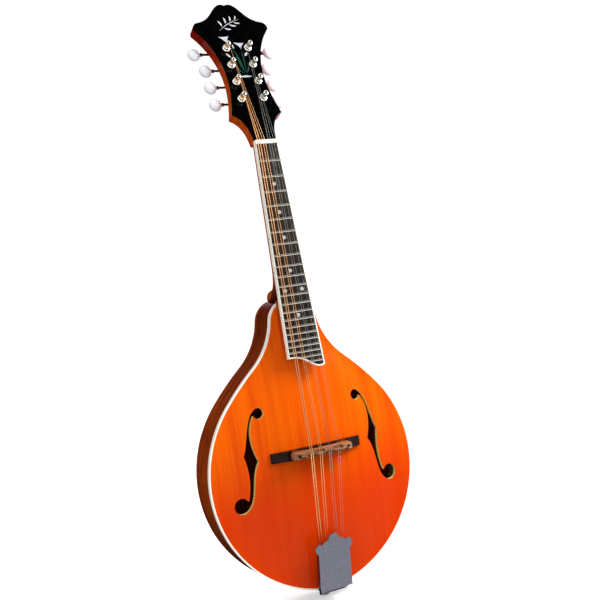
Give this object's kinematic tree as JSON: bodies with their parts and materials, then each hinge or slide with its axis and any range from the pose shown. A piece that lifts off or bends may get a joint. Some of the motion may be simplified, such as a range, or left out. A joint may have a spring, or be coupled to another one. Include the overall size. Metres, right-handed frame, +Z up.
{
  "type": "mandolin",
  "caption": "Eight-string A-style mandolin with an arched soundboard, f-shaped sound holes, geared tuners, a movable bridge and a sliding tailpiece cover.",
  "frame": {"origin": "centre of the flat end face of the end button, the lowest point of the instrument", "axes": "+Z up the body and neck, -Y out of the soundboard towards the player, +X towards the treble strings"},
  "size_m": [0.2534, 0.1249, 0.7109],
  "materials": {
    "spruce_top": "gloss",
    "body_mahogany": "gloss",
    "cream_binding": "gloss",
    "inner_spruce": "raw",
    "inner_mahogany": "raw",
    "neck_wood": "gloss",
    "plain_steel": "mill",
    "riser_wood": "gloss",
    "rosewood_board": "oiled",
    "nickel_silver": "polished",
    "white_pearl": "polished",
    "bone_nut": "satin",
    "black_veneer": "gloss",
    "green_pearl": "polished",
    "nickel_plate": "polished",
    "tailpiece_chrome": "polished",
    "bronze_wound": "wound",
    "plain_string": "polished",
    "rosewood_bridge": "satin",
    "bridge_brass": "turned",
    "rosewood_saddle": "satin",
    "bronze_shaft": "aged",
    "pearloid": "polished"
  },
  "bodies": {
    "body_and_neck": {"top_plate": "spruce_top", "back_plate": "body_mahogany", "side_bass": "body_mahogany", "side_treble": "body_mahogany", "top_binding": "cream_binding", "linings": "inner_spruce", "neck_block": "inner_mahogany", "tail_block": "inner_mahogany", "tone_bars": "inner_spruce", "neck": "neck_wood", "neck_bar": "plain_steel", "fingerboard_riser": "riser_wood", "fingerboard": "rosewood_board", "fingerboard_binding": "cream_binding", "frets": "nickel_silver", "position_dots": "white_pearl", "nut": "bone_nut", "headstock_veneer": "black_veneer", "headstock_pearl": "white_pearl", "headstock_leaves": "green_pearl", "post_bushings": "nickel_plate", "tuner_plate_bass": "nickel_plate", "tuner_plate_treble": "nickel_plate", "tuner_plate_screws": "nickel_plate", "tailpiece_base": "tailpiece_chrome", "tailpiece_screws": "tailpiece_chrome", "end_button": "tailpiece_chrome", "strings_wound": "bronze_wound", "strings_plain": "plain_string"},
    "knob_bass_1": {"tuner_worm_bass_1": "bronze_shaft", "tuner_button_bass_1": "pearloid"},
    "post_bass_1": {"tuner_post_bass_1": "nickel_plate"},
    "knob_bass_2": {"tuner_worm_bass_2": "bronze_shaft", "tuner_button_bass_2": "pearloid"},
    "post_bass_2": {"tuner_post_bass_2": "nickel_plate"},
    "knob_bass_3": {"tuner_worm_bass_3": "bronze_shaft", "tuner_button_bass_3": "pearloid"},
    "post_bass_3": {"tuner_post_bass_3": "nickel_plate"},
    "knob_bass_4": {"tuner_worm_bass_4": "bronze_shaft", "tuner_button_bass_4": "pearloid"},
    "post_bass_4": {"tuner_post_bass_4": "nickel_plate"},
    "knob_treble_1": {"tuner_worm_treble_1": "bronze_shaft", "tuner_button_treble_1": "pearloid"},
    "post_treble_1": {"tuner_post_treble_1": "nickel_plate"},
    "knob_treble_2": {"tuner_worm_treble_2": "bronze_shaft", "tuner_button_treble_2": "pearloid"},
    "post_treble_2": {"tuner_post_treble_2": "nickel_plate"},
    "knob_treble_3": {"tuner_worm_treble_3": "bronze_shaft", "tuner_button_treble_3": "pearloid"},
    "post_treble_3": {"tuner_post_treble_3": "nickel_plate"},
    "knob_treble_4": {"tuner_worm_treble_4": "bronze_shaft", "tuner_button_treble_4": "pearloid"},
    "post_treble_4": {"tuner_post_treble_4": "nickel_plate"},
    "bridge_foot": {"bridge_base": "rosewood_bridge", "bridge_studs": "bridge_brass"},
    "saddle": {"bridge_saddle": "rosewood_saddle"},
    "wheel_bass": {"thumbwheel_bass": "bridge_brass"},
    "wheel_treble": {"thumbwheel_treble": "bridge_brass"},
    "cover": {"tailpiece_cover": "tailpiece_chrome"}
  },
  "joints": [
    {"name": "knob_turn_bass_1", "type": "hinge", "parent": "body_and_neck", "child": "knob_bass_1", "pos_m": [-0.0138, 0.02217, 0.58281], "axis": [1, 0, 0], "continuous": true},
    {"name": "post_turn_bass_1", "type": "hinge", "parent": "body_and_neck", "child": "post_bass_1", "pos_m": [-0.0138, 0.00315, 0.58451], "axis": [0, 0.9361, -0.3518], "continuous": true},
    {"name": "knob_turn_bass_2", "type": "hinge", "parent": "body_and_neck", "child": "knob_bass_2", "pos_m": [-0.0138, 0.03049, 0.60494], "axis": [1, 0, 0], "continuous": true},
    {"name": "post_turn_bass_2", "type": "hinge", "parent": "body_and_neck", "child": "post_bass_2", "pos_m": [-0.0138, 0.01147, 0.60665], "axis": [0, 0.9361, -0.3518], "continuous": true},
    {"name": "knob_turn_bass_3", "type": "hinge", "parent": "body_and_neck", "child": "knob_bass_3", "pos_m": [-0.0138, 0.03881, 0.62708], "axis": [1, 0, 0], "continuous": true},
    {"name": "post_turn_bass_3", "type": "hinge", "parent": "body_and_neck", "child": "post_bass_3", "pos_m": [-0.0138, 0.01979, 0.62879], "axis": [0, 0.9361, -0.3518], "continuous": true},
    {"name": "knob_turn_bass_4", "type": "hinge", "parent": "body_and_neck", "child": "knob_bass_4", "pos_m": [-0.0138, 0.04713, 0.64922], "axis": [1, 0, 0], "continuous": true},
    {"name": "post_turn_bass_4", "type": "hinge", "parent": "body_and_neck", "child": "post_bass_4", "pos_m": [-0.0138, 0.02811, 0.65093], "axis": [0, 0.9361, -0.3518], "continuous": true},
    {"name": "knob_turn_treble_1", "type": "hinge", "parent": "body_and_neck", "child": "knob_treble_1", "pos_m": [0.0138, 0.02217, 0.58281], "axis": [1, 0, 0], "continuous": true},
    {"name": "post_turn_treble_1", "type": "hinge", "parent": "body_and_neck", "child": "post_treble_1", "pos_m": [0.0138, 0.00315, 0.58451], "axis": [0, 0.9361, -0.3518], "continuous": true},
    {"name": "knob_turn_treble_2", "type": "hinge", "parent": "body_and_neck", "child": "knob_treble_2", "pos_m": [0.0138, 0.03049, 0.60494], "axis": [1, 0, 0], "continuous": true},
    {"name": "post_turn_treble_2", "type": "hinge", "parent": "body_and_neck", "child": "post_treble_2", "pos_m": [0.0138, 0.01147, 0.60665], "axis": [0, 0.9361, -0.3518], "continuous": true},
    {"name": "knob_turn_treble_3", "type": "hinge", "parent": "body_and_neck", "child": "knob_treble_3", "pos_m": [0.0138, 0.03881, 0.62708], "axis": [1, 0, 0], "continuous": true},
    {"name": "post_turn_treble_3", "type": "hinge", "parent": "body_and_neck", "child": "post_treble_3", "pos_m": [0.0138, 0.01979, 0.62879], "axis": [0, 0.9361, -0.3518], "continuous": true},
    {"name": "knob_turn_treble_4", "type": "hinge", "parent": "body_and_neck", "child": "knob_treble_4", "pos_m": [0.0138, 0.04713, 0.64922], "axis": [1, 0, 0], "continuous": true},
    {"name": "post_turn_treble_4", "type": "hinge", "parent": "body_and_neck", "child": "post_treble_4", "pos_m": [0.0138, 0.02811, 0.65093], "axis": [0, 0.9361, -0.3518], "continuous": true},
    {"name": "bridge_slide", "type": "slide", "parent": "body_and_neck", "child": "bridge_foot", "axis": [0, 0, 1], "range_m": [-0.003, 0.003], "deforming": ["strings_wound", "strings_plain"]},
    {"name": "saddle_lift", "type": "slide", "parent": "bridge_foot", "child": "saddle", "axis": [0, -1, 0], "range_m": [-0.001, 0.0015]},
    {"name": "wheel_turn_bass", "type": "hinge", "parent": "saddle", "child": "wheel_bass", "pos_m": [-0.03, -0.0449, 0.1735], "axis": [0, 1, 0], "range_deg": [-514.5, 771.6]},
    {"name": "wheel_turn_treble", "type": "hinge", "parent": "saddle", "child": "wheel_treble", "pos_m": [0.03, -0.0449, 0.1735], "axis": [0, 1, 0], "range_deg": [-514.5, 771.6]},
    {"name": "cover_slide", "type": "slide", "parent": "body_and_neck", "child": "cover", "axis": [0, 0.1779, -0.984], "range_m": [0, 0.045]}
  ],
  "couplings": [
    {"joint": "post_turn_bass_1", "follows": "knob_turn_bass_1", "ratio": -0.071429},
    {"joint": "post_turn_bass_2", "follows": "knob_turn_bass_2", "ratio": -0.071429},
    {"joint": "post_turn_bass_3", "follows": "knob_turn_bass_3", "ratio": -0.071429},
    {"joint": "post_turn_bass_4", "follows": "knob_turn_bass_4", "ratio": -0.071429},
    {"joint": "post_turn_treble_1", "follows": "knob_turn_treble_1", "ratio": -0.071429},
    {"joint": "post_turn_treble_2", "follows": "knob_turn_treble_2", "ratio": -0.071429},
    {"joint": "post_turn_treble_3", "follows": "knob_turn_treble_3", "ratio": -0.071429},
    {"joint": "post_turn_treble_4", "follows": "knob_turn_treble_4", "ratio": -0.071429},
    {"joint": "wheel_turn_bass", "follows": "saddle_lift", "rad_per_m": 8976},
    {"joint": "wheel_turn_treble", "follows": "saddle_lift", "rad_per_m": 8976}
  ]
}
